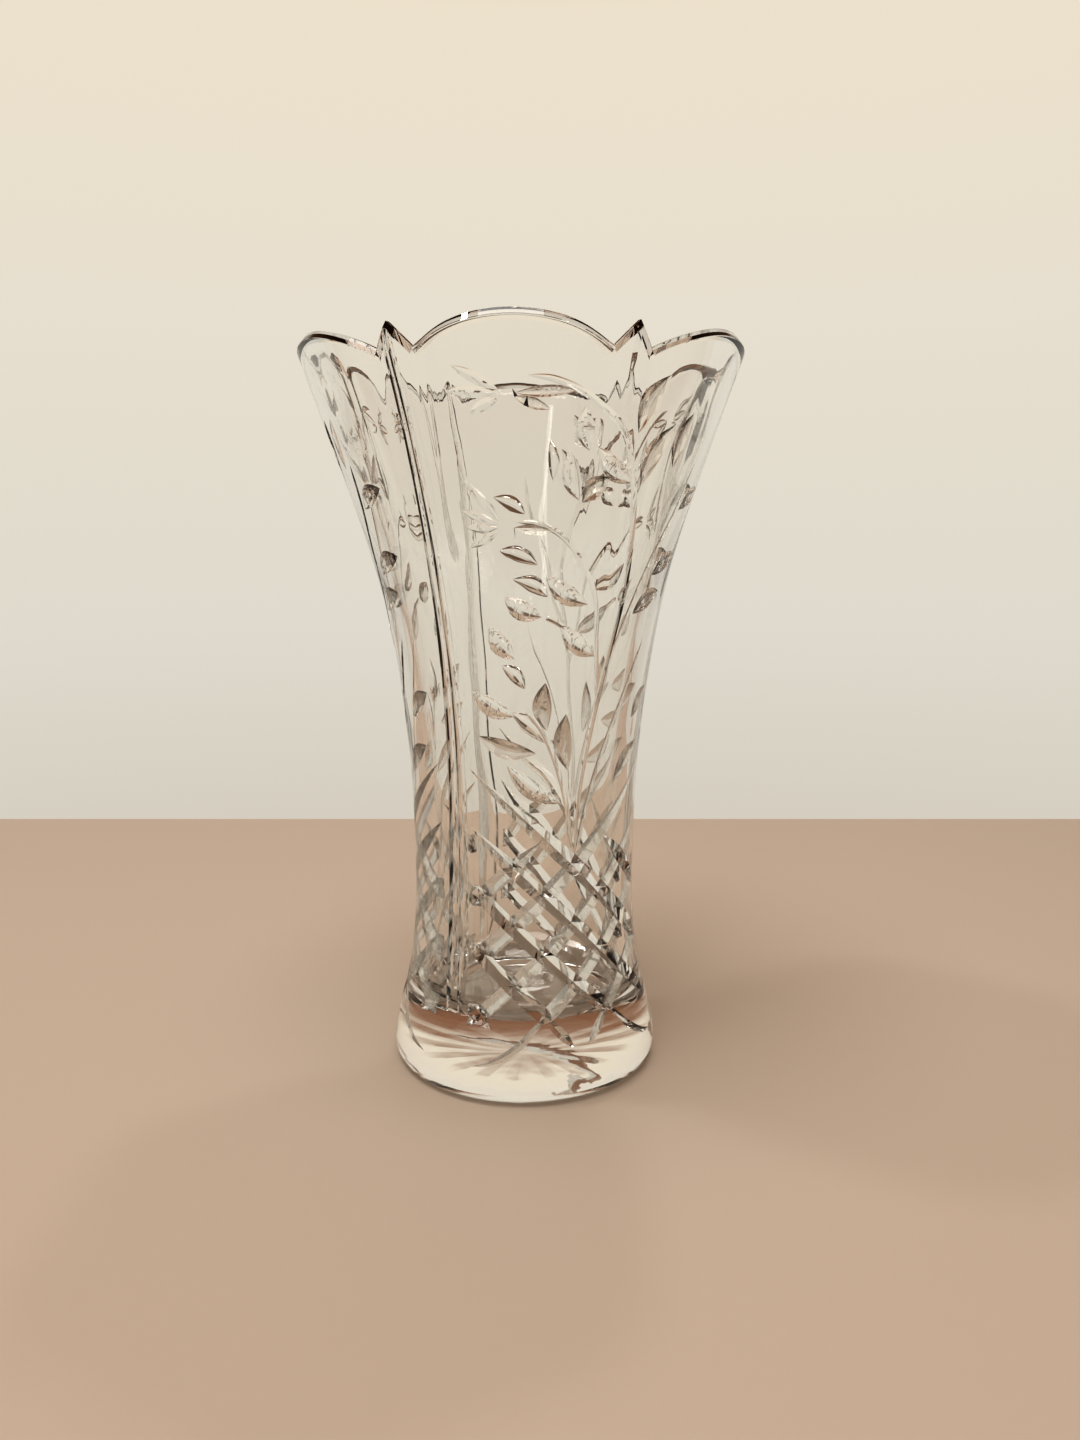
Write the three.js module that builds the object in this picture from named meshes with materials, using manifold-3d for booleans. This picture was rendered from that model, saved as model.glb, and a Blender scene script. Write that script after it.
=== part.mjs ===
// A cut crystal vase, blown and cut from one piece of clear glass.
// Millimetres, +Z up. The origin is the centre of the underside, where the vase stands.
// The middle of one cut panel faces -Y. Between the panels stand three plain columns.
import * as THREE from "three";
import { mergeVertices } from "three/addons/utils/BufferGeometryUtils.js";
import Module from "manifold-3d";

// ---- driving dimensions -------------------------------------------------------------

const OVERALL_HEIGHT = 203;      // underside to the top of a rim lobe
const MOUTH_RADIUS = 57;         // outside, at the notches of the rim
const WAIST_RADIUS = 32;         // outside, at the narrowest place
const WAIST_HEIGHT = 56;         // height of the narrowest place
const FOOT_RADIUS = 39;          // outside, at the widest place of the foot
const FOOT_EDGE_HEIGHT = 5;      // height of that widest place, top of the rounded edge
const FOOT_EDGE_RUN = 4;         // how far that rounded edge reaches in to the flat underside

const RIM_WALL = 3.8;            // glass thickness at the rim
const WAIST_WALL = 6;            // glass thickness at the waist
const FLOOR_THICKNESS = 18;      // solid glass under the well
const WELL_CORNER = 9;           // rounding where the well's floor meets its wall

const SECTORS = 6;               // one lobe and one pointed peak to each sector
const LOBE_RISE = 6.6;           // top of a lobe above the notches
const LOBE_BULGE = 4.6;          // how far a lobe swings out past the notches
const LOBE_DEPTH = 62;           // how far down the wall a lobe's bulge fades out
const PEAK_RISE = 5.6;           // tip of a peak above the notches
const PEAK_FLARE = 3;            // how far a peak's tip leans out past the notches
const PEAK_HALF_ANGLE = 5.2;     // degrees from a peak's tip to the notch beside it

const PANELS = 3;                // cut panels, one to every second sector
const FLUTE_DEPTH = 1.1;         // the two upright V cuts of each column, side by side
const FLUTE_WIDTH = 3.2;
const FLUTE_FOOT_HEIGHT = 22;    // where a flute runs out above the foot
const FLUTE_RUN_OUT = 14;        // length over which it gets shallower there

const DIAMONDS_ACROSS = 4;       // diamonds side by side on one panel
const DIAMOND_ANGLE = 30.8;      // degrees round the waist from side to side of a diamond
const DIAMOND_HEIGHT = 16.5;     // tip to tip
const LATTICE_TURN = -2.5;       // degrees from the peak above it to the lattice's middle
const MITRE_DEPTH = 1.8;         // V cuts that leave the diamonds
const MITRE_WIDTH = 5.6;
const LATTICE_BOTTOM = 24;       // height of the lowest crossing
const LATTICE_ROWS = 3;          // whole diamonds from the lowest crossing up

// ---- how finely the curves are faceted ---------------------------------------------

const LOBE_STEPS = 4;            // from a notch to the middle of a lobe
const PEAK_STEPS = 3;            // from a tip to a notch
const SECTOR_STEPS = 2 * (LOBE_STEPS + PEAK_STEPS);
const FOOT_ROWS = 4;
const BELL_ROWS = 9;
const RIM_ROWS = 4;
const WELL_ROWS = 6;
const CORNER_ROWS = 2;
const MITRE_STEPS = 6;

const REST_RADIUS = FOOT_RADIUS - FOOT_EDGE_RUN;
const RIM_RADIUS = RIM_WALL / 2;
const NOTCH_HEIGHT = OVERALL_HEIGHT - LOBE_RISE - RIM_RADIUS;
const SECTOR_ANGLE = 360 / SECTORS;
const GLASS = { color: 0xf1efe9, roughness: 0.04, metalness: 0, transparent: true, opacity: 0.35 };

// ---- the outline: foot, waist and bell ---------------------------------------------

const point = (radius, height) => new THREE.Vector2(radius, height);

const footCurve = new THREE.CubicBezierCurve(
  point(FOOT_RADIUS, FOOT_EDGE_HEIGHT),
  point(FOOT_RADIUS, THREE.MathUtils.lerp(FOOT_EDGE_HEIGHT, WAIST_HEIGHT, 0.22)),
  point(WAIST_RADIUS, THREE.MathUtils.lerp(FOOT_EDGE_HEIGHT, WAIST_HEIGHT, 0.34)),
  point(WAIST_RADIUS, WAIST_HEIGHT),
);

const bellCurve = new THREE.CubicBezierCurve(
  point(WAIST_RADIUS, WAIST_HEIGHT),
  point(WAIST_RADIUS, THREE.MathUtils.lerp(WAIST_HEIGHT, NOTCH_HEIGHT, 0.42)),
  point(
    THREE.MathUtils.lerp(WAIST_RADIUS, MOUTH_RADIUS, 0.36),
    THREE.MathUtils.lerp(WAIST_HEIGHT, NOTCH_HEIGHT, 0.68),
  ),
  point(MOUTH_RADIUS, NOTCH_HEIGHT),
);

const footPoints = footCurve.getPoints(FOOT_ROWS);
const bellPoints = bellCurve.getPoints(BELL_ROWS);
const outlinePoints = [...footPoints, ...bellPoints.slice(1)];

// Outside radius of the plain vase at a height, read off the outline.
function outsideRadius(height) {
  const last = outlinePoints.length - 1;
  let i = 0;
  while (i < last - 1 && outlinePoints[i + 1].y < height) i += 1;
  const low = outlinePoints[i];
  const high = outlinePoints[i + 1];
  return THREE.MathUtils.mapLinear(height, low.y, high.y, low.x, high.x);
}

// The wall thins from the waist to the rim.
function wallAt(height) {
  const share = THREE.MathUtils.smoothstep(height, WAIST_HEIGHT, NOTCH_HEIGHT);
  return THREE.MathUtils.lerp(WAIST_WALL, RIM_WALL, share);
}

// Closed outline from the underside's centre, up the outside, over the rim and down the well.
function bodyProfile() {
  const profile = [point(0, 0), point(REST_RADIUS / 2, 0), point(REST_RADIUS, 0)];
  profile.push(point(
    REST_RADIUS + FOOT_EDGE_RUN * Math.SQRT1_2,
    FOOT_EDGE_HEIGHT * (1 - Math.SQRT1_2),
  ));
  profile.push(...outlinePoints);

  for (let i = 1; i <= RIM_ROWS; i += 1) {
    const angle = (i / RIM_ROWS) * Math.PI;
    const out = MOUTH_RADIUS - RIM_RADIUS * (1 - Math.cos(angle));
    profile.push(point(out, NOTCH_HEIGHT + RIM_RADIUS * Math.sin(angle)));
  }

  const wellStart = FLOOR_THICKNESS + WELL_CORNER;
  for (let i = 1; i <= WELL_ROWS; i += 1) {
    const height = THREE.MathUtils.lerp(NOTCH_HEIGHT, wellStart, i / WELL_ROWS);
    profile.push(point(outsideRadius(height) - wallAt(height), height));
  }
  const cornerCentre = outsideRadius(wellStart) - wallAt(wellStart) - WELL_CORNER;
  for (let i = 1; i <= CORNER_ROWS; i += 1) {
    const angle = (i / CORNER_ROWS) * (Math.PI / 2);
    profile.push(point(
      cornerCentre + WELL_CORNER * Math.cos(angle),
      wellStart - WELL_CORNER * Math.sin(angle),
    ));
  }
  profile.push(point(0, FLOOR_THICKNESS));
  return profile;
}

// ---- the lobed rim and the columns' flutes, as moves of the turned vase -------------

// Degrees from the nearest peak's tip, 0 to half a sector.
function angleFromPeak(degrees) {
  const turned = THREE.MathUtils.euclideanModulo(degrees, SECTOR_ANGLE);
  return Math.min(turned, SECTOR_ANGLE - turned);
}

// 0 at a notch, 1 at the middle of a lobe.
function lobeShare(degrees) {
  const fromPeak = angleFromPeak(degrees);
  if (fromPeak <= PEAK_HALF_ANGLE) return 0;
  const half = SECTOR_ANGLE / 2;
  const across = (half - fromPeak) / (half - PEAK_HALF_ANGLE);
  return 1 - across * across;
}

// 0 at a notch, 1 at the tip of a peak.
const peakShare = (degrees) => Math.max(0, 1 - angleFromPeak(degrees) / PEAK_HALF_ANGLE);

// Columns stand under every second peak, half a panel away from the panels' middles.
function fluteCut(degrees, height, radius) {
  const panelAngle = 360 / PANELS;
  const turned = THREE.MathUtils.euclideanModulo(degrees, panelAngle);
  const fromColumn = THREE.MathUtils.degToRad(Math.abs(turned - panelAngle / 2)) * radius;
  const fromFlute = Math.abs(fromColumn - FLUTE_WIDTH / 2);
  const across = Math.max(0, 1 - fromFlute / (FLUTE_WIDTH / 2));
  const runOut = THREE.MathUtils.smoothstep(
    height, FLUTE_FOOT_HEIGHT, FLUTE_FOOT_HEIGHT + FLUTE_RUN_OUT,
  );
  return FLUTE_DEPTH * across * runOut;
}

// The lathe's even steps are shared out so that tips, notches and flutes get a vertex.
function sectorAngles() {
  const half = SECTOR_ANGLE / 2;
  const angles = [];
  for (let i = 0; i <= PEAK_STEPS; i += 1) angles.push((PEAK_HALF_ANGLE * i) / PEAK_STEPS);
  for (let i = 1; i <= LOBE_STEPS; i += 1) {
    angles.push(THREE.MathUtils.lerp(PEAK_HALF_ANGLE, half, i / LOBE_STEPS));
  }
  const mirrored = angles.slice(1, -1).reverse().map((angle) => SECTOR_ANGLE - angle);
  return [...angles, ...mirrored];
}

const asSolid = (wasm, geometry) => {
  const bare = geometry.clone();
  bare.deleteAttribute("normal");
  bare.deleteAttribute("uv");
  const merged = mergeVertices(bare, 1e-4);
  return new wasm.Manifold(new wasm.Mesh({
    numProp: 3,
    vertProperties: new Float32Array(merged.attributes.position.array),
    triVerts: new Uint32Array(merged.index.array),
  }));
};

function asGeometry(solid) {
  const mesh = solid.getMesh();
  const geometry = new THREE.BufferGeometry();
  geometry.setAttribute("position", new THREE.BufferAttribute(mesh.vertProperties, 3));
  geometry.setIndex(new THREE.BufferAttribute(mesh.triVerts, 1));
  geometry.computeVertexNormals();
  return geometry;
}

// The turned vase: a lathe round +Y laid over to +Z, then its vertices moved.
function blankGeometry() {
  const profile = bodyProfile();
  const segments = SECTORS * SECTOR_STEPS;
  const lathe = new THREE.LatheGeometry(profile, segments);
  const position = lathe.attributes.position;
  const angles = sectorAngles();
  const outsideRows = profile.findIndex((place) => place.y > NOTCH_HEIGHT);
  for (let i = 0; i < position.count; i += 1) {
    const row = i % profile.length;
    const step = Math.floor(i / profile.length) % segments;
    const sector = Math.floor(step / SECTOR_STEPS);
    const degrees = sector * SECTOR_ANGLE + angles[step % SECTOR_STEPS];
    const { x: radius, y: height } = profile[row];

    const fade = THREE.MathUtils.smoothstep(height, NOTCH_HEIGHT - LOBE_DEPTH, NOTCH_HEIGHT);
    const lobe = lobeShare(degrees);
    const peak = peakShare(degrees);
    const cut = row < outsideRows ? fluteCut(degrees, height, radius) : 0;
    const movedRadius = radius + LOBE_BULGE * lobe * fade + PEAK_FLARE * peak * fade * fade - cut;
    const movedHeight = height + (LOBE_RISE * lobe + PEAK_RISE * peak) * fade * fade;
    const turn = THREE.MathUtils.degToRad(degrees - 90);
    position.setXYZ(i, movedRadius * Math.cos(turn), movedRadius * Math.sin(turn), movedHeight);
  }
  return lathe;
}

// ---- the crossed mitre cuts round the waist -----------------------------------------

// A straight bar, standing on its edge, bent to run up round the waist.
function mitreGeometry(startAngle, startHeight, rows, hand) {
  const side = MITRE_DEPTH * 2 * Math.SQRT2;
  const bar = new THREE.BoxGeometry(1, side, side, MITRE_STEPS, 1, 1);
  bar.rotateX(Math.PI / 4);
  bar.scale(1, MITRE_WIDTH / (2 * MITRE_DEPTH), 1);
  const position = bar.attributes.position;
  const halfDiamond = DIAMOND_ANGLE / 2;
  for (let i = 0; i < position.count; i += 1) {
    const along = (position.getX(i) + 0.5) * rows;
    const height = startHeight + (along * DIAMOND_HEIGHT) / 2;
    const radius = outsideRadius(height);
    const arc = THREE.MathUtils.degToRad(halfDiamond) * radius;
    const slope = Math.atan2(DIAMOND_HEIGHT / 2, arc);
    const across = position.getY(i);
    const turn = THREE.MathUtils.degToRad(startAngle - 90 + hand * along * halfDiamond)
      - (hand * across * Math.sin(slope)) / radius;
    const out = radius + MITRE_DEPTH + position.getZ(i);
    position.setXYZ(
      i, out * Math.cos(turn), out * Math.sin(turn), height + across * Math.cos(slope),
    );
  }
  if (hand < 0) bar.index.array.reverse();
  return bar;
}

// The cuts of one panel start and end half a diamond inside its outermost diamonds.
function panelMitres(panelAngle) {
  const halfDiamond = DIAMOND_ANGLE / 2;
  const reach = DIAMONDS_ACROSS - 1;
  const top = LATTICE_ROWS * 2;
  const mitres = [];
  for (const hand of [1, -1]) {
    for (let start = -reach - top; start <= reach; start += 2) {
      const from = Math.max(0, -reach - start);
      const to = Math.min(top, reach - start);
      if (to - from < 2) continue;
      const angle = panelAngle + hand * (start + from) * halfDiamond;
      const height = LATTICE_BOTTOM + (from * DIAMOND_HEIGHT) / 2;
      mitres.push(mitreGeometry(angle, height, to - from, hand));
    }
  }
  return mitres;
}

// ---- the vase ------------------------------------------------------------------------

const wasm = await Module();
wasm.setup();

let glass = asSolid(wasm, blankGeometry());
for (let panel = 0; panel < PANELS; panel += 1) {
  for (const mitre of panelMitres((panel * 360) / PANELS + LATTICE_TURN)) {
    glass = glass.subtract(asSolid(wasm, mitre));
  }
}

const vaseBody = new THREE.Mesh(asGeometry(glass), new THREE.MeshStandardMaterial(GLASS));
vaseBody.name = "vase_body";

const vase = new THREE.Group();
vase.name = "cut_crystal_vase";
vase.add(vaseBody);

export default vase;
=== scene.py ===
# %% [markdown]
# # A cut crystal vase
#
# The real vase is one piece of clear lead crystal. A glassmaker blows a thick blank into a mould, cracks it
# off, cuts the lobes and points of the rim, grinds the pattern in with stone wheels and then dips the whole
# vase in acid, which polishes every cut as bright as the plain glass.
#
# The script works in the same order: turn the blank, shape the rim, bend wheel-shaped tools round the wall
# and take them away with booleans, then give the glass its finish. Lengths are in millimetres until a
# finished piece is scaled to metres.

# %% the frame
import math

import bmesh
import bpy
from mathutils import Matrix, Vector, noise
from mathutils.geometry import interpolate_bezier


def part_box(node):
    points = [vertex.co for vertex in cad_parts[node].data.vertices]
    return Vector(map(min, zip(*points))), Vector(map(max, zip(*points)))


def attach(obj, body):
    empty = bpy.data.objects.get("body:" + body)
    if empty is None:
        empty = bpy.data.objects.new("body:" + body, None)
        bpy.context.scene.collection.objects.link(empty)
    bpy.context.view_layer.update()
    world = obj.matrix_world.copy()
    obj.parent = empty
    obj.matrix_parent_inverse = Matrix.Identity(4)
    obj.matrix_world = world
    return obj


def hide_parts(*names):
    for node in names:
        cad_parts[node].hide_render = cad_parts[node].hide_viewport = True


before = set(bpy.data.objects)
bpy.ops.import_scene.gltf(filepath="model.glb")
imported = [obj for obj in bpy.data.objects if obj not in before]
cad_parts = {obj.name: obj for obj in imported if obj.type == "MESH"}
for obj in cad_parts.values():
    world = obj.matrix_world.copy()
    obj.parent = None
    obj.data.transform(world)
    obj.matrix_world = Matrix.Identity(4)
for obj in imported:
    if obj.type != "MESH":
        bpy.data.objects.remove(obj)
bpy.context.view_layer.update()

MM = 0.001
low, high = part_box("vase_body")
overall_height = high[2] / MM
lobe_reach = high[0] / MM
peak_reach = high[1] / MM
print("the packed vase stands", round(overall_height, 1), "mm tall and reaches", round(lobe_reach, 1))

# %% [markdown]
# ## The camera
#
# The camera stands close to the vase, a little below the rim, and looks slightly down. It comes first, so
# that every piece can be judged in the view it will be seen in. A short lens close to the object gives the
# strong perspective of a phone: the near rim stands high above the far one.

# %% camera
VIEW_AZIMUTH = math.radians(-28.3)
VIEW_DISTANCE = 0.311
VIEW_HEIGHT = 0.1523
VIEW_SIDESTEP = 0.0047
VIEW_PITCH = math.radians(9.48)
LENS = 27.05


def add_camera():
    """A camera beside the vase, turned to face its axis."""
    data = bpy.data.cameras.new("camera")
    data.lens = LENS
    data.sensor_width = 36
    data.clip_start = 0.01
    camera = bpy.data.objects.new("camera", data)
    bpy.context.scene.collection.objects.link(camera)
    away = Vector((math.sin(VIEW_AZIMUTH), -math.cos(VIEW_AZIMUTH), 0)) * VIEW_DISTANCE
    right = Vector((math.cos(VIEW_AZIMUTH), math.sin(VIEW_AZIMUTH), 0)) * VIEW_SIDESTEP
    camera.location = away + right + Vector((0, 0, VIEW_HEIGHT))
    camera.rotation_euler = (math.pi / 2 - VIEW_PITCH, 0, VIEW_AZIMUTH)
    bpy.context.scene.camera = camera
    return camera


camera = add_camera()
print("camera at", [round(v, 3) for v in camera.location])

# %% [markdown]
# ## The outline
#
# A vase is a shape of revolution before it is cut, so half of its outline says it all. Two Bezier curves
# make the outside: one from the rounded edge of the foot up to the waist, one from the waist out to the
# mouth. The inside follows at a wall's distance, thicker at the waist than at the rim, and ends in a
# rounded well above a heavy floor.

# %% outline
MOUTH_RADIUS = 57.0
WAIST_RADIUS = 32.0
WAIST_HEIGHT = 56.0
FOOT_RADIUS = 39.0
FOOT_EDGE_HEIGHT = 5.0
FOOT_EDGE_RUN = 4.0
RIM_WALL = 3.8
WAIST_WALL = 6.0
FLOOR_THICKNESS = 18.0
WELL_CORNER = 9.0
LOBE_RISE = 6.6
PEAK_RISE = 5.6
FOOT_HANDLES = (0.22, 0.34)
BELL_HANDLES = (0.42, 0.68)
BELL_LEAD = 0.36
FOOT_STEPS = 20
BELL_STEPS = 40

rim_radius = RIM_WALL / 2
notch_height = overall_height - LOBE_RISE - rim_radius
rest_radius = FOOT_RADIUS - FOOT_EDGE_RUN


def mix(a, b, share):
    """A value a share of the way from a to b."""
    return a + (b - a) * share


def smooth_step(value, start, end):
    """0 up to start, 1 from end on, and a smooth rise between them."""
    share = min(1.0, max(0.0, (value - start) / (end - start)))
    return share * share * (3 - 2 * share)


def curve(start, start_handle, end_handle, end, count):
    """Points along one Bezier curve in the (radius, height) plane."""
    knots = [Vector((x, y, 0)) for x, y in (start, start_handle, end_handle, end)]
    return [(p.x, p.y) for p in interpolate_bezier(*knots, count)]


foot_curve = curve(
    (FOOT_RADIUS, FOOT_EDGE_HEIGHT),
    (FOOT_RADIUS, mix(FOOT_EDGE_HEIGHT, WAIST_HEIGHT, FOOT_HANDLES[0])),
    (WAIST_RADIUS, mix(FOOT_EDGE_HEIGHT, WAIST_HEIGHT, FOOT_HANDLES[1])),
    (WAIST_RADIUS, WAIST_HEIGHT),
    FOOT_STEPS,
)
bell_curve = curve(
    (WAIST_RADIUS, WAIST_HEIGHT),
    (WAIST_RADIUS, mix(WAIST_HEIGHT, notch_height, BELL_HANDLES[0])),
    (mix(WAIST_RADIUS, MOUTH_RADIUS, BELL_LEAD), mix(WAIST_HEIGHT, notch_height, BELL_HANDLES[1])),
    (MOUTH_RADIUS, notch_height),
    BELL_STEPS,
)
outside = foot_curve + bell_curve[1:]


def outside_radius(height):
    """Radius of the uncut outside at a height, read off the outline."""
    for (r0, z0), (r1, z1) in zip(outside, outside[1:]):
        if height <= z1:
            break
    return mix(r0, r1, (height - z0) / (z1 - z0))


def wall_at(height):
    """Glass thickness at a height: even below the waist, thinner towards the rim."""
    return mix(WAIST_WALL, RIM_WALL, smooth_step(height, WAIST_HEIGHT, notch_height))


print("outline of", len(outside), "points, rim notches at", round(notch_height, 1), "mm")

# %% [markdown]
# ## Lobes and points
#
# The rim has six broad lobes with a small sharp point between each pair. Lobes and points also lean
# outwards, so the mouth is a flower from above. All of it is one move of the turned blank: how far a place
# of the wall moves depends only on its angle from the nearest rim point and on its height.

# %% rim shape
SECTOR = 60.0
PEAK_HALF_ANGLE = 5.217
LOBE_BULGE = lobe_reach - MOUTH_RADIUS
PEAK_FLARE = peak_reach - MOUTH_RADIUS
LOBE_DEPTH = 62.0
PEAK_DEPTH = 18.0
TRIALS = 6


def angle_from_peak(degrees):
    """Degrees to the nearest point of the rim."""
    turned = degrees % SECTOR
    return min(turned, SECTOR - turned)


def lobe_share(degrees):
    """0 at a notch of the rim and 1 at the middle of a lobe."""
    from_peak = angle_from_peak(degrees)
    if from_peak <= PEAK_HALF_ANGLE:
        return 0.0
    across = (SECTOR / 2 - from_peak) / (SECTOR / 2 - PEAK_HALF_ANGLE)
    return 1 - across * across


def peak_share(degrees):
    """0 at a notch of the rim and 1 at the tip of a point."""
    return max(0.0, 1 - angle_from_peak(degrees) / PEAK_HALF_ANGLE)


def rim_rise(degrees, height):
    """How far a place is lifted. Lobes draw up the wall from far below, points only near the rim."""
    lobe = lobe_share(degrees) * smooth_step(height, notch_height - LOBE_DEPTH, notch_height) ** 2
    peak = peak_share(degrees) * smooth_step(height, notch_height - PEAK_DEPTH, notch_height)
    return LOBE_RISE * lobe + PEAK_RISE * peak


def rim_lean(degrees, height):
    """How far a place is moved outwards."""
    lobe = smooth_step(lobe_share(degrees), 0, 1)
    lobe *= smooth_step(height, notch_height - LOBE_DEPTH, notch_height)
    peak = peak_share(degrees) * smooth_step(height, notch_height - PEAK_DEPTH, notch_height)
    return LOBE_BULGE * lobe + PEAK_FLARE * peak


def shaped(radius, degrees, height):
    """Where a point of the turned blank lies once the rim is shaped. Angle 0 faces -Y."""
    out = radius + rim_lean(degrees, height)
    turn = math.radians(degrees)
    return Vector((out * math.sin(turn), -out * math.cos(turn), height + rim_rise(degrees, height)))


def on_wall(degrees, height):
    """The outside at a height above the table: the rise is undone by a few steps of trial."""
    level = height
    for _ in range(TRIALS):
        level = height - rim_rise(degrees, level)
    return shaped(outside_radius(level), degrees, level)


print("lobes swing out", round(LOBE_BULGE, 1), "mm and points lean out", round(PEAK_FLARE, 1), "mm")

# %% [markdown]
# ## The blank
#
# `bmesh.ops.spin` turns the half outline round the axis, as a lathe would. Both ends of the outline lie on
# the axis, so merging doubles closes the poles. The rim is ground to a bevel on both sides of a narrow flat,
# which is what gives it a dark crisp band. Then every vertex is moved to its place on the lobed rim, and the
# inside gets a faint ripple, because a blown well is never quite true: it makes the plain glass shimmer.

# %% blank
TURNS = 276
WELL_STEPS = 44
CORNER_STEPS = 8
EDGE_STEPS = 4
WELD = 0.001
RIPPLE = 0.2
RIPPLE_SCALE = 0.1
RIPPLE_STRETCH = 0.5
RIPPLE_FADE_RADIUS = 10
RIM_BEVEL = ((0.0, 0.25), (1.15, 1.9), (2.45, 1.9), (3.8, 0.9))


def blank_outline():
    """(radius, height) from the underside's centre, up the outside, over the rim and into the well."""
    points = [(0, 0), (rest_radius / 2, 0), (rest_radius, 0)]
    for i in range(1, EDGE_STEPS):
        angle = math.pi / 2 * i / EDGE_STEPS
        out = rest_radius + FOOT_EDGE_RUN * math.sin(angle)
        points.append((out, FOOT_EDGE_HEIGHT * (1 - math.cos(angle))))
    points += outside
    points += [(MOUTH_RADIUS - inwards, notch_height + up) for inwards, up in RIM_BEVEL]
    points.append((MOUTH_RADIUS - RIM_WALL, notch_height))
    well_start = FLOOR_THICKNESS + WELL_CORNER
    for i in range(1, WELL_STEPS + 1):
        height = mix(notch_height, well_start, i / WELL_STEPS)
        points.append((outside_radius(height) - wall_at(height), height))
    corner_centre = outside_radius(well_start) - wall_at(well_start) - WELL_CORNER
    for i in range(1, CORNER_STEPS + 1):
        angle = math.pi / 2 * i / CORNER_STEPS
        drop = WELL_CORNER * math.sin(angle)
        points.append((corner_centre + WELL_CORNER * math.cos(angle), well_start - drop))
    points += [(corner_centre / 2, FLOOR_THICKNESS), (0, FLOOR_THICKNESS)]
    return points


def is_inside(radius, height):
    """Whether a vertex of the blank is on the well's side of the wall."""
    if height < FLOOR_THICKNESS - WELD or height > notch_height:
        return False
    return radius < outside_radius(height) - wall_at(height) / 2


def turned_blank():
    """The whole blank: spun, welded at the poles, rippled inside and moved onto the lobed rim."""
    bm = bmesh.new()
    chain = [bm.verts.new((0, -radius, height)) for radius, height in blank_outline()]
    edges = [bm.edges.new(pair) for pair in zip(chain, chain[1:])]
    bmesh.ops.spin(
        bm, geom=chain + edges, cent=(0, 0, 0), axis=(0, 0, 1), dvec=(0, 0, 0),
        angle=math.tau, steps=TURNS, use_merge=True, use_normal_flip=False, use_duplicate=False,
    )
    bmesh.ops.remove_doubles(bm, verts=bm.verts, dist=WELD)
    bmesh.ops.recalc_face_normals(bm, faces=bm.faces)
    for vert in bm.verts:
        radius, height = math.hypot(vert.co.x, vert.co.y), vert.co.z
        if is_inside(radius, height):
            stretched = Vector((vert.co.x, vert.co.y, vert.co.z * RIPPLE_STRETCH)) * RIPPLE_SCALE
            radius += RIPPLE * noise.noise(stretched) * min(1.0, radius / RIPPLE_FADE_RADIUS)
        vert.co = shaped(radius, math.degrees(math.atan2(vert.co.x, -vert.co.y)), height)
    return bm


def make_object(bm, name):
    """Scales a finished bmesh to metres and links it as an object at the origin."""
    bmesh.ops.scale(bm, vec=(MM, MM, MM), verts=bm.verts)
    mesh = bpy.data.meshes.new(name)
    bm.to_mesh(mesh)
    bm.free()
    piece = bpy.data.objects.new(name, mesh)
    bpy.context.scene.collection.objects.link(piece)
    return piece


vase = make_object(turned_blank(), "crystal_vase")
print("blank of", len(vase.data.polygons), "faces")

# %% [markdown]
# ## A wheel that cuts
#
# A cutter holds the vase against a spinning wheel. The wheel's edge is a V for a mitre cut or rounded for a
# leaf, and leaning harder makes the cut deeper and wider together, which is why every cut ends in a point.
# The tool here is a straight bar: a cone with two equal ends, subdivided along its length into stations.
# Each station is laid on the wall along a route, sunk as deep as the cut is there. Its flanks go on past
# the surface, so the boolean leaves a clean edge.

# %% the wheel
COLUMNS = (60, 180, 300)
PATTERN_TURN = -2.5
PANELS = tuple(120 * i + PATTERN_TURN for i in range(3))
LIFT = 0.6
FADE_OUT = 0.03
LOOK_AHEAD = 0.02
BOAT_FULLNESS = 0.9
V_EDGE = 4
FINE_EDGE = 8
ROUND_EDGE = 18


def route_point(route, share):
    """A point along a Catmull-Rom curve through the route's (degrees, height) places."""
    spans = len(route) - 1
    at = min(share * spans, spans - 1e-6)
    i = int(at)
    t = at - i
    p1, p2 = Vector(route[i]), Vector(route[i + 1])
    p0 = Vector(route[i - 1]) if i > 0 else p1 * 2 - p2
    p3 = Vector(route[i + 2]) if i + 2 <= spans else p2 * 2 - p1
    return 0.5 * (2 * p1 + (p2 - p0) * t + (2 * p0 - 5 * p1 + 4 * p2 - p3) * t * t
                  + (3 * p1 - p0 - 3 * p2 + p3) * t ** 3)


def leaf_depth(share):
    """Deep in the middle and nothing at both tips."""
    return math.sin(math.pi * share) ** BOAT_FULLNESS


def steady_depth(start_fade, end_fade):
    """Full depth, shallower over a share of the length at each end. A fade of 0 runs right through."""
    def depth(share):
        start = 1.0 if start_fade == 0 else min(1.0, share / start_fade)
        end = 1.0 if end_fade == 0 else min(1.0, (1 - share) / end_fade)
        return math.sin(start * math.pi / 2) * math.sin(end * math.pi / 2)
    return depth


def wall_frame(route, share, panel_angle):
    """Place, sideways direction and outward direction at a share of a route's length."""
    place = route_point(route, share)
    ahead = route_point(route, min(1.0, share + LOOK_AHEAD))
    behind = route_point(route, max(0.0, share - LOOK_AHEAD))
    angle, height = place.x + panel_angle, place.y
    along = on_wall(ahead.x + panel_angle, ahead.y) - on_wall(behind.x + panel_angle, behind.y)
    round_way = on_wall(angle + 0.5, height) - on_wall(angle - 0.5, height)
    up_way = on_wall(angle, height + 0.5) - on_wall(angle, height - 0.5)
    normal = round_way.cross(up_way).normalized()
    along = (along - normal * along.dot(normal)).normalized()
    return on_wall(angle, height), along.cross(normal), normal


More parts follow.
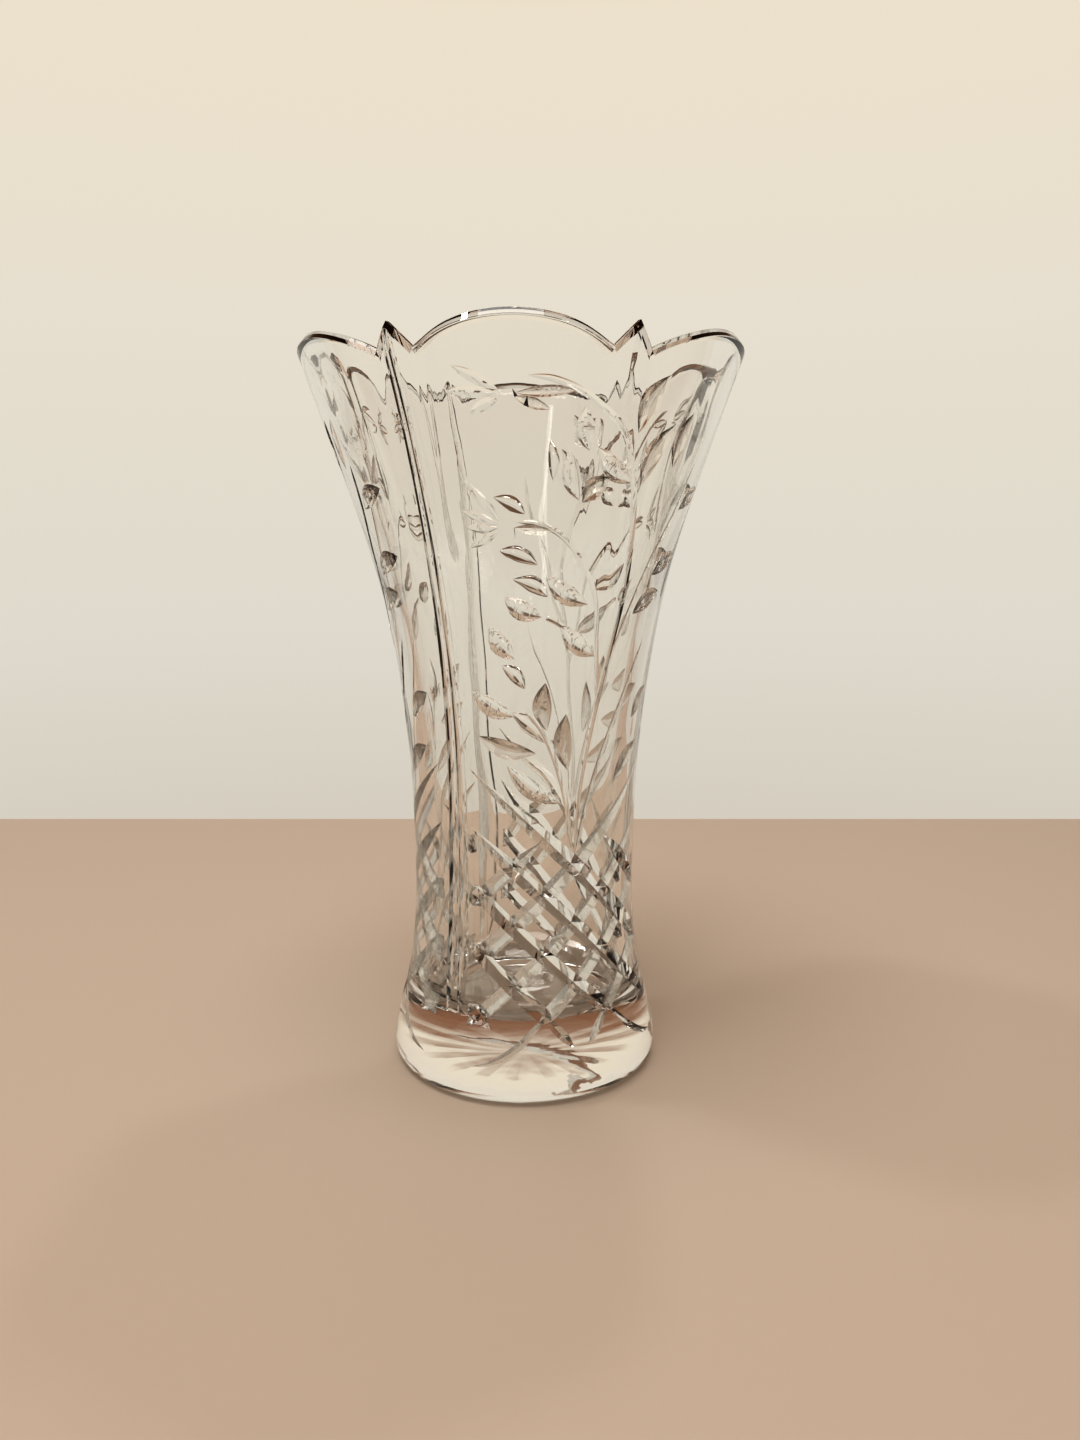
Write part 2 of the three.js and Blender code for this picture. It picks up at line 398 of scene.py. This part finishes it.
def straight_bar(segments, stations):
    """A closed bar along X, from 0 to stations, with a ring of vertices at each whole number."""
    bar = bmesh.new()
    bmesh.ops.create_cone(
        bar, cap_ends=True, segments=segments, radius1=1, radius2=1, depth=stations,
    )
    quarter = Matrix.Rotation(math.pi / 2, 3, "Y")
    bmesh.ops.rotate(bar, cent=(0, 0, 0), matrix=quarter, verts=bar.verts)
    bmesh.ops.translate(bar, vec=(stations / 2, 0, 0), verts=bar.verts)
    lengthwise = [edge for edge in bar.edges if abs(edge.verts[0].co.x - edge.verts[1].co.x) > 0.5]
    bmesh.ops.subdivide_edges(bar, edges=lengthwise, cuts=stations - 1, use_grid_fill=True)
    return bar


def wheel_cut(bm, route, depth, depth_at, spread, edge=V_EDGE, stations=18, panels=PANELS):
    """Adds a cutting bar along a route on each panel.

    Spread is the half width for each millimetre of depth. The bar's lower half takes the shape of the
    wheel's edge, its widest ring is lifted clear of the glass and its top is lifted twice as far.
    """
    for panel_angle in panels:
        bar = straight_bar(edge, stations)
        frames = [wall_frame(route, i / stations, panel_angle) for i in range(stations + 1)]
        for vert in bar.verts:
            station = round(vert.co.x)
            across, up = vert.co.y, vert.co.z
            deep = depth * depth_at(station / stations) - FADE_OUT
            if up > 0.01:
                offset, rise = across * (deep + LIFT) * spread, LIFT * 2
            elif up > -0.01:
                offset, rise = across * (deep + LIFT) * spread, LIFT
            else:
                sunk = 1 - (abs(across) if edge == V_EDGE else across * across)
                offset, rise = across * max(deep, 0) * spread, -deep * (sunk if deep > 0 else 1)
            place, side, normal = frames[station]
            vert.co = place + side * offset + normal * rise
        bmesh.ops.recalc_face_normals(bar, faces=bar.faces)
        scratch = bpy.data.meshes.new("bar")
        bar.to_mesh(scratch)
        bar.free()
        bm.from_mesh(scratch)
        bpy.data.meshes.remove(scratch)


def grind(piece, bm, label):
    """Takes the tools in a bmesh away from the piece, as one boolean. The tools must not touch."""
    tool = make_object(bm, "tool")
    modifier = piece.modifiers.new(label, "BOOLEAN")
    modifier.operation = "DIFFERENCE"
    modifier.solver = "MANIFOLD"
    modifier.object = tool
    bpy.context.view_layer.objects.active = piece
    bpy.ops.object.modifier_apply(modifier=modifier.name)
    mesh = tool.data
    bpy.data.objects.remove(tool)
    bpy.data.meshes.remove(mesh)
    print(label, "ground in, now", len(piece.data.polygons), "faces")


sample = straight_bar(V_EDGE, ROUND_EDGE)
print("a V bar of", ROUND_EDGE, "stations has", len(sample.verts), "vertices")
sample.free()

# %% [markdown]
# ## Upright flutes
#
# A column separates each pair of panels, under every second point of the rim. It is two long hollow flutes
# side by side, so that a sharp ridge is left between them. Leaning harder towards the foot makes a flute
# wider there. The two are ground one after the other, because they meet at the ridge.

# %% flutes
FLUTE_DEPTH = 1.1
FLUTE_TOP_SHARE = 0.35
FLUTE_SPREAD = 1.8
FLUTE_TOP = notch_height + 8
FLUTE_BOTTOM = 22.0
FLUTE_RUN_OUT = 0.09
FLUTE_SPANS = 8
FLUTE_STATIONS = 64
COLUMN_LEAN = -1.8
LEAN_HEIGHTS = (40, 110)


def flute_share(share):
    """Depth along a flute: a pointed foot, full above it and shallower towards the rim."""
    return steady_depth(FLUTE_RUN_OUT, 0)(share) * mix(1, FLUTE_TOP_SHARE, share)


def flute(side):
    """One flute of every column, half its own width to the side of the ridge."""
    route = []
    for i in range(FLUTE_SPANS + 1):
        height = mix(FLUTE_BOTTOM, FLUTE_TOP, i / FLUTE_SPANS)
        half_width = FLUTE_DEPTH * FLUTE_SPREAD * mix(1, FLUTE_TOP_SHARE, i / FLUTE_SPANS)
        aside = math.degrees(half_width / outside_radius(min(height, notch_height)))
        lean = COLUMN_LEAN * (1 - smooth_step(height, *LEAN_HEIGHTS))
        route.append((lean + side * aside, height))
    bm = bmesh.new()
    wheel_cut(bm, route, FLUTE_DEPTH, flute_share, FLUTE_SPREAD, ROUND_EDGE, FLUTE_STATIONS, COLUMNS)
    return bm


grind(vase, flute(-1), "left flutes")
grind(vase, flute(1), "right flutes")

# %% [markdown]
# ## The lattice
#
# Deep V mitres cross round the waist and leave rows of raised diamonds. Every mitre climbs half a diamond's
# height while it turns half a diamond's width. Two of them run on past the lattice as long tapering arms
# that cradle the sprig, and the lowest ones trail off over the foot as curved tails.

# %% lattice
HALF_DIAMOND = 15.4
HALF_DIAMOND_HEIGHT = 8.25
LATTICE_BOTTOM = 24.0
PANEL_EDGE = 51.5
MITRE_DEPTH = 1.9
MITRE_SPREAD = 1.12
MITRE_SPANS = 6
ARM_DEPTH = MITRE_DEPTH * 1.2
LONG_TAIL_DEPTH = 0.75
SHORT_TAIL_DEPTH = 0.975
TAIL_SPREAD = 1.5
TAIL_STATIONS = 24


def lattice_height(start, degrees):
    """Height of the mitre that crosses the lowest row at the angle start."""
    return LATTICE_BOTTOM + (degrees - start) / HALF_DIAMOND * HALF_DIAMOND_HEIGHT


def mitre_route(start, first, last):
    """A rising mitre from one angle to another."""
    places = [mix(first, last, i / MITRE_SPANS) for i in range(MITRE_SPANS + 1)]
    return [(degrees, lattice_height(start, degrees)) for degrees in places]


def mirrored(route, hand):
    """The same route, or its mirror image in the panel's middle when hand is -1."""
    return [(hand * degrees, height) for degrees, height in route]


def mitres(hand):
    """The mitres of every panel that lean one way, so none of them touch each other.

    Each row is a route, a full depth, the shares of the length over which the cut starts and ends, and
    the number of stations. The second row is the long arm.
    """
    bm = bmesh.new()
    edge = PANEL_EDGE
    step = HALF_DIAMOND
    cuts = (
        (mitre_route(-7 * step, -edge, -17), MITRE_DEPTH, (0.1, 0.45), 24),
        (mitre_route(-5 * step, -edge, edge), ARM_DEPTH, (0.05, 0.5), 48),
        (mitre_route(-3 * step, -edge, edge), MITRE_DEPTH, (0.05, 0.22), 40),
        (mitre_route(-step, -step - 3, edge), MITRE_DEPTH, (0.08, 0.06), 40),
        (mitre_route(step, step - 3, edge), MITRE_DEPTH, (0.12, 0.07), 30),
        (mitre_route(3 * step, 3 * step - 6, edge), MITRE_DEPTH, (0.5, 0.3), 12),
    )
    for route, depth, fades, stations in cuts:
        wheel_cut(bm, mirrored(route, hand), depth, steady_depth(*fades), MITRE_SPREAD, stations=stations)
    return bm


def tails(route, depth):
    """Thin cuts that run out from the lowest crossings, one to each side of a panel."""
    bm = bmesh.new()
    for hand in (-1, 1):
        wheel_cut(bm, mirrored(route, hand), depth, leaf_depth, TAIL_SPREAD, stations=TAIL_STATIONS)
    return bm


LONG_TAIL = [(-48, 10.5), (-38, 12.5), (-28, 16.5), (-20, 21.5), (-13, 26)]
SHORT_TAIL = [(3.5, 15.5), (9, 19.5), (17, 25)]
grind(vase, mitres(1), "rising mitres")
grind(vase, mitres(-1), "falling mitres")
grind(vase, tails(LONG_TAIL, LONG_TAIL_DEPTH), "long tails")
grind(vase, tails(SHORT_TAIL, SHORT_TAIL_DEPTH), "short tails")

# %% [markdown]
# ## The sprig
#
# Above the lattice grows a spray of stems, leaves and two flowers. Stems are thin and shallow, made with the
# edge of a small wheel. They are ground in three goes, because stems that spring from one place would touch
# as tools. Places are (degrees from the panel's middle, height).

# %% stems
STEM_DEPTH = 0.42
MAIN_STEM_DEPTH = STEM_DEPTH * 1.2
STEM_SPREAD = 1.6
STEM_FADES = (0.04, 0.12)
STATIONS_PER_SPAN = 8

STEMS_FIRST = (
    [(-0.5, 67), (1.5, 86), (9, 113), (15, 137), (12.5, 157), (9, 168), (3, 178), (-7, 184.5), (-17, 188),
     (-24.5, 189)],
)
STEMS_SECOND = (
    [(8, 112), (5, 125), (2.5, 137), (-5, 147), (-12.5, 153), (-20.5, 156), (-27.5, 156.5)],
    [(-2, 70), (-5, 83), (-11, 95), (-17.5, 103.5), (-24.5, 108.5)],
    [(1, 70), (7.5, 86), (16.5, 101), (26, 114), (34, 126)],
)
STEMS_THIRD = (
    [(9.5, 116), (19, 133), (26, 148), (32, 160), (34.5, 172)],
    [(4.5, 124), (-11, 131), (-17, 133)],
)


def stems(routes, depth):
    """The tools of stems that don't touch each other."""
    bm = bmesh.new()
    for route in routes:
        stations = STATIONS_PER_SPAN * (len(route) - 1)
        wheel_cut(bm, route, depth, steady_depth(*STEM_FADES), STEM_SPREAD, FINE_EDGE, stations)
    return bm


grind(vase, stems(STEMS_FIRST, MAIN_STEM_DEPTH), "main stem")
grind(vase, stems(STEMS_SECOND, STEM_DEPTH), "side stems")
grind(vase, stems(STEMS_THIRD, STEM_DEPTH), "fine stems")

# %% [markdown]
# ## Leaves and petals
#
# A leaf is one press of a broad rounded wheel, rolled along the leaf's middle and lifted at both tips, so
# it comes out as a boat. Deep boats act as small lenses that turn the room upside down. A petal is the same
# press with hardly any weight behind it. Each leaf is a root and a tip, and each flower is a centre with
# petals given by direction and length.

# %% leaves and petals
LEAF_DEPTH = 1.5
LEAF_SPREAD = 1.75
LEAF_BOW = 0.08
PETAL_DEPTH = 0.5
PETAL_SPREAD = 2.9
FLOWER_GAP = 1.6

LEAVES = (
    ((-29, 107), (-47, 113.5)), ((-19.5, 97), (-45.5, 101.5)), ((-7.5, 83), (-33, 94)),
    ((-4.5, 92), (-6.5, 107.5)), ((-15, 103), (-16, 116)),
    ((-0.5, 136), (-17.5, 143.5)), ((-18, 133), (-32, 138)),
    ((5.5, 122.5), (-11, 131)), ((-28.5, 122), (-38, 131)),
    ((8, 177.5), (14, 191)), ((12.5, 165.5), (19, 180)), ((22.5, 170), (25, 183)),
    ((22, 133), (39.5, 138.5)), ((22.5, 87), (43, 97)), ((33.5, 104), (48, 112)),
    ((29, 143), (46, 148)), ((34, 160), (47, 165)),
    ((-8, 161.5), (-12.5, 173)), ((-7, 161), (1.5, 167)), ((9.5, 166), (-4, 174)), ((-6.5, 173), (-9, 183)),
)
FLOWERS = (
    ((-30.5, 155), ((128, 13), (158, 9.5), (180, 8), (207, 9), (-3, 11))),
    ((-29, 185), ((152, 12), (176, 12), (205, 8), (-18, 9), (4, 15))),
)


def leaf_route(root, tip):
    """From root to tip with a slight bow to one side."""
    (a0, z0), (a1, z1) = root, tip
    radius = outside_radius((z0 + z1) / 2)
    middle = Vector(((a0 + a1) / 2, (z0 + z1) / 2))
    across = Vector((-(z1 - z0) / math.radians(1) / radius, (a1 - a0) * math.radians(1) * radius))
    middle += across * LEAF_BOW
    return [root, (middle.x, middle.y), tip]


def petal_routes(centre, petals):
    """Petals fan out from a flower's centre, each with a direction in degrees and a length in mm."""
    angle, height = centre
    radius = outside_radius(height)
    for direction, length in petals:
        way = Vector((math.cos(math.radians(direction)), math.sin(math.radians(direction))))
        ends = [way * FLOWER_GAP, way * (FLOWER_GAP + length)]
        yield [(angle + math.degrees(end.x / radius), height + end.y) for end in ends]


def leaves():
    """The tools of every leaf and petal."""
    bm = bmesh.new()
    for root, tip in LEAVES:
        wheel_cut(bm, leaf_route(root, tip), LEAF_DEPTH, leaf_depth, LEAF_SPREAD, ROUND_EDGE)
    for centre, petals in FLOWERS:
        for route in petal_routes(centre, petals):
            wheel_cut(bm, route, PETAL_DEPTH, leaf_depth, PETAL_SPREAD, ROUND_EDGE)
    return bm


grind(vase, leaves(), "leaves and petals")

# %% [markdown]
# ## The star under the foot
#
# A many-pointed star is ground into the underside. It is one shallow cone whose base ring steps in and out,
# so every ray is a V that narrows to a point before it reaches the ring the vase stands on.

# %% star
STAR_POINTS = 16
STAR_REACH = 32.0
STAR_WAIST = 18.0
STAR_DEPTH = 0.2
STAR_CLEARANCE = 0.02


def star():
    """A flat cone whose base ring is a star, standing a hair below the underside."""
    bm = bmesh.new()
    bmesh.ops.create_cone(
        bm, cap_ends=True, segments=STAR_POINTS * 2, radius1=STAR_REACH, radius2=0, depth=STAR_DEPTH,
    )
    bmesh.ops.remove_doubles(bm, verts=bm.verts, dist=WELD)
    bmesh.ops.translate(bm, vec=(0, 0, STAR_DEPTH / 2 - STAR_CLEARANCE), verts=bm.verts)
    rim = [vert for vert in bm.verts if vert.co.z < 0]
    for vert in rim:
        step = round(math.atan2(vert.co.y, vert.co.x) / (math.pi / STAR_POINTS))
        if step % 2:
            vert.co = vert.co * (STAR_WAIST / STAR_REACH)
            vert.co.z = -STAR_CLEARANCE
    bmesh.ops.recalc_face_normals(bm, faces=bm.faces)
    return bm


grind(vase, star(), "star")

# %% [markdown]
# ## Bright polish
#
# The acid bath leaves every face as bright as the plain glass. Faces that meet at a shallow angle are shaded
# as one smooth surface, and the edges of the cuts stay crisp. An open edge would let light leak through the
# glass, so they are counted here, and there should be none.

# %% clean and shade
CRISP_ANGLE = math.radians(11)


def polish(piece):
    """Counts open edges, measures the glass and shades the piece."""
    bm = bmesh.new()
    bm.from_mesh(piece.data)
    loose = sum(1 for edge in bm.edges if not edge.is_manifold)
    volume = bm.calc_volume()
    bm.free()
    piece.data.shade_smooth()
    piece.data.set_sharp_from_angle(angle=CRISP_ANGLE)
    print("open edges:", loose, "volume cm3:", round(volume * 1e6, 1))


polish(vase)
vase.data.calc_loop_triangles()
print("vase of", len(vase.data.loop_triangles), "triangles")

# %% [markdown]
# ## Lead crystal
#
# Lead makes glass heavier and bends light more strongly than window glass, with an index near 1.545. Nearly
# all of the look is in the shape, so the finish is a clear transmission with a trace of warmth. Two faint
# textures make it glass that was worked by hand. Fingers and cloths leave an uneven haze, which is a noise in
# the roughness. Blown glass also has upright flow lines, which are a stretched noise in a very low bump.

# %% material
CRYSTAL_IOR = 1.545
CRYSTAL_TINT = (0.985, 0.98, 0.965, 1)
HAZE = 0.006
HAZE_SCALE = 45
HAZE_RANGE = (0.45, 0.75)
FLOW_HEIGHT = 0.00004
FLOW_SCALE = 160
FLOW_STRETCH = 0.12


def lead_crystal():
    """Clear glass with a faint haze and faint upright flow lines."""
    material = bpy.data.materials.new("lead_crystal")
    material.use_nodes = True
    nodes, links = material.node_tree.nodes, material.node_tree.links
    shader = nodes["Principled BSDF"]
    shader.inputs["Base Color"].default_value = CRYSTAL_TINT
    shader.inputs["Transmission Weight"].default_value = 1
    shader.inputs["IOR"].default_value = CRYSTAL_IOR

    where = nodes.new("ShaderNodeTexCoord")
    smears = nodes.new("ShaderNodeTexNoise")
    smears.inputs["Scale"].default_value = HAZE_SCALE
    haze = nodes.new("ShaderNodeMapRange")
    haze.inputs["From Min"].default_value = HAZE_RANGE[0]
    haze.inputs["From Max"].default_value = HAZE_RANGE[1]
    haze.inputs["To Max"].default_value = HAZE
    links.new(where.outputs["Object"], smears.inputs["Vector"])
    links.new(smears.outputs["Fac"], haze.inputs["Value"])
    links.new(haze.outputs["Result"], shader.inputs["Roughness"])

    upright = nodes.new("ShaderNodeMapping")
    upright.inputs["Scale"].default_value = (1, 1, FLOW_STRETCH)
    flow = nodes.new("ShaderNodeTexNoise")
    flow.inputs["Scale"].default_value = FLOW_SCALE
    flow.inputs["Detail"].default_value = 1
    bump = nodes.new("ShaderNodeBump")
    bump.inputs["Distance"].default_value = FLOW_HEIGHT
    links.new(where.outputs["Object"], upright.inputs["Vector"])
    links.new(upright.outputs["Vector"], flow.inputs["Vector"])
    links.new(flow.outputs["Fac"], bump.inputs["Height"])
    links.new(bump.outputs["Normal"], shader.inputs["Normal"])
    return material


crystal = lead_crystal()
vase.data.materials.clear()
vase.data.materials.append(crystal)
print("the vase wears", crystal.name, "with", len(crystal.node_tree.nodes), "nodes")
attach(vase, "root")
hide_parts("vase_body")

# %% [markdown]
# ## The table
#
# Clear glass shows what is around it, so the room matters as much as the material. The floor is a plain pale
# table top that ends a little way behind the vase. It lies a hair below the foot, so the two never share a
# surface, which would leave specks in the glass.

# %% floor
FLOOR_BEHIND = 0.27
FLOOR_AHEAD = 1.2
FLOOR_HALF_WIDTH = 1.2
FLOOR_DROP = 0.0002
FLOOR_COLOUR = (0.68, 0.58, 0.48, 1)


def add_floor():
    """A flat sheet whose far edge lies square across the camera's view."""
    bm = bmesh.new()
    bmesh.ops.create_grid(bm, x_segments=1, y_segments=1, size=1)
    for vert in bm.verts:
        vert.co.x *= FLOOR_HALF_WIDTH
        vert.co.y = FLOOR_BEHIND if vert.co.y > 0 else -FLOOR_AHEAD
        vert.co.z = -FLOOR_DROP
    turn = Matrix.Rotation(VIEW_AZIMUTH, 3, "Z")
    bmesh.ops.rotate(bm, cent=(0, 0, 0), matrix=turn, verts=bm.verts)
    mesh = bpy.data.meshes.new("floor")
    bm.to_mesh(mesh)
    bm.free()
    floor = bpy.data.objects.new("floor", mesh)
    bpy.context.scene.collection.objects.link(floor)
    material = bpy.data.materials.new("pale_floor")
    material.use_nodes = True
    shader = material.node_tree.nodes["Principled BSDF"]
    shader.inputs["Base Color"].default_value = FLOOR_COLOUR
    shader.inputs["Roughness"].default_value = 0.5
    mesh.materials.append(material)


add_floor()
print("table top", FLOOR_HALF_WIDTH * 2, "m wide")

# %% [markdown]
# ## The room
#
# The backdrop is pale from just below eye level up to a third of the way to the ceiling. Above and below
# that band the room is dark and warm, because bright-field lighting of glass needs both: the pale band
# fills the plain walls, and the dark surround is what the edges of the cuts bend into view.

# %% room
ROOM_STOPS = (
    (0.00, (0.05, 0.025, 0.012)),
    (0.345, (0.09, 0.045, 0.022)),
    (0.36, (0.56, 0.52, 0.45)),
    (0.46, (0.63, 0.60, 0.53)),
    (0.60, (0.68, 0.63, 0.54)),
    (0.705, (0.71, 0.64, 0.52)),
    (0.745, (0.22, 0.10, 0.05)),
    (1.00, (0.12, 0.055, 0.028)),
)


def add_room():
    """A world whose colour depends on height alone, so every view has the same backdrop."""
    world = bpy.data.worlds.new("room")
    world.use_nodes = True
    bpy.context.scene.world = world
    nodes, links = world.node_tree.nodes, world.node_tree.links
    where = nodes.new("ShaderNodeTexCoord")
    split = nodes.new("ShaderNodeSeparateXYZ")
    level = nodes.new("ShaderNodeMapRange")
    level.inputs["From Min"].default_value = -1
    ramp = nodes.new("ShaderNodeValToRGB")
    elements = ramp.color_ramp.elements
    elements[0].color = (*ROOM_STOPS[0][1], 1)
    elements[1].color = (*ROOM_STOPS[-1][1], 1)
    for at, colour in ROOM_STOPS[1:-1]:
        elements.new(at).color = (*colour, 1)
    links.new(where.outputs["Generated"], split.inputs["Vector"])
    links.new(split.outputs["Z"], level.inputs["Value"])
    links.new(level.outputs["Result"], ramp.inputs["Fac"])
    links.new(ramp.outputs["Color"], nodes["Background"].inputs["Color"])


add_room()
print("room colour stops:", len(ROOM_STOPS))

# %% [markdown]
# ## The lamps
#
# A broad lamp overhead lights the floor softly. The narrow ones are there for the glass: clear glass has no
# colour of its own to light, it can only mirror a lamp, and a tall thin lamp is drawn as a bright broken
# streak on the rippled inside of the bell.

# %% lights
LAMP_COLOUR = (1.0, 0.97, 0.92)
LAMP_AIM = (0, 0, 0.1)


def add_lamp(name, place, width, length, power):
    """A rectangular area light that faces the middle of the vase."""
    data = bpy.data.lights.new(name, "AREA")
    data.shape = "RECTANGLE"
    data.size = width
    data.size_y = length
    data.energy = power
    data.color = LAMP_COLOUR
    lamp = bpy.data.objects.new(name, data)
    bpy.context.scene.collection.objects.link(lamp)
    lamp.location = place
    towards = Vector(LAMP_AIM) - Vector(place)
    lamp.rotation_euler = towards.to_track_quat("-Z", "Y").to_euler()


add_lamp("overhead_lamp", (-0.3, -0.25, 1.4), 0.8, 0.8, 8)
add_lamp("tall_strip", (-0.82, -0.74, 0.95), 0.09, 0.6, 0.5)
add_lamp("left_sparkle", (-0.5, 0.3, 1.2), 0.1, 0.1, 1.2)
add_lamp("right_sparkle", (0.45, 0.35, 1.4), 0.1, 0.1, 1.2)
print("lamps:", len(bpy.data.lights))

# %% [markdown]
# ## Seeing through many faces
#
# A ray that crosses a cut vase passes a dozen faces or more, so it needs many bounces before it may stop.
# A little extra contrast in the picture is what makes crystal look like crystal.

# %% bounces and contrast
GLASS_BOUNCES = 24

cycles = bpy.context.scene.cycles
cycles.max_bounces = GLASS_BOUNCES
cycles.transmission_bounces = GLASS_BOUNCES
bpy.context.scene.view_settings.view_transform = "Standard"
bpy.context.scene.view_settings.look = "Medium High Contrast"
print("light may cross", GLASS_BOUNCES, "faces")
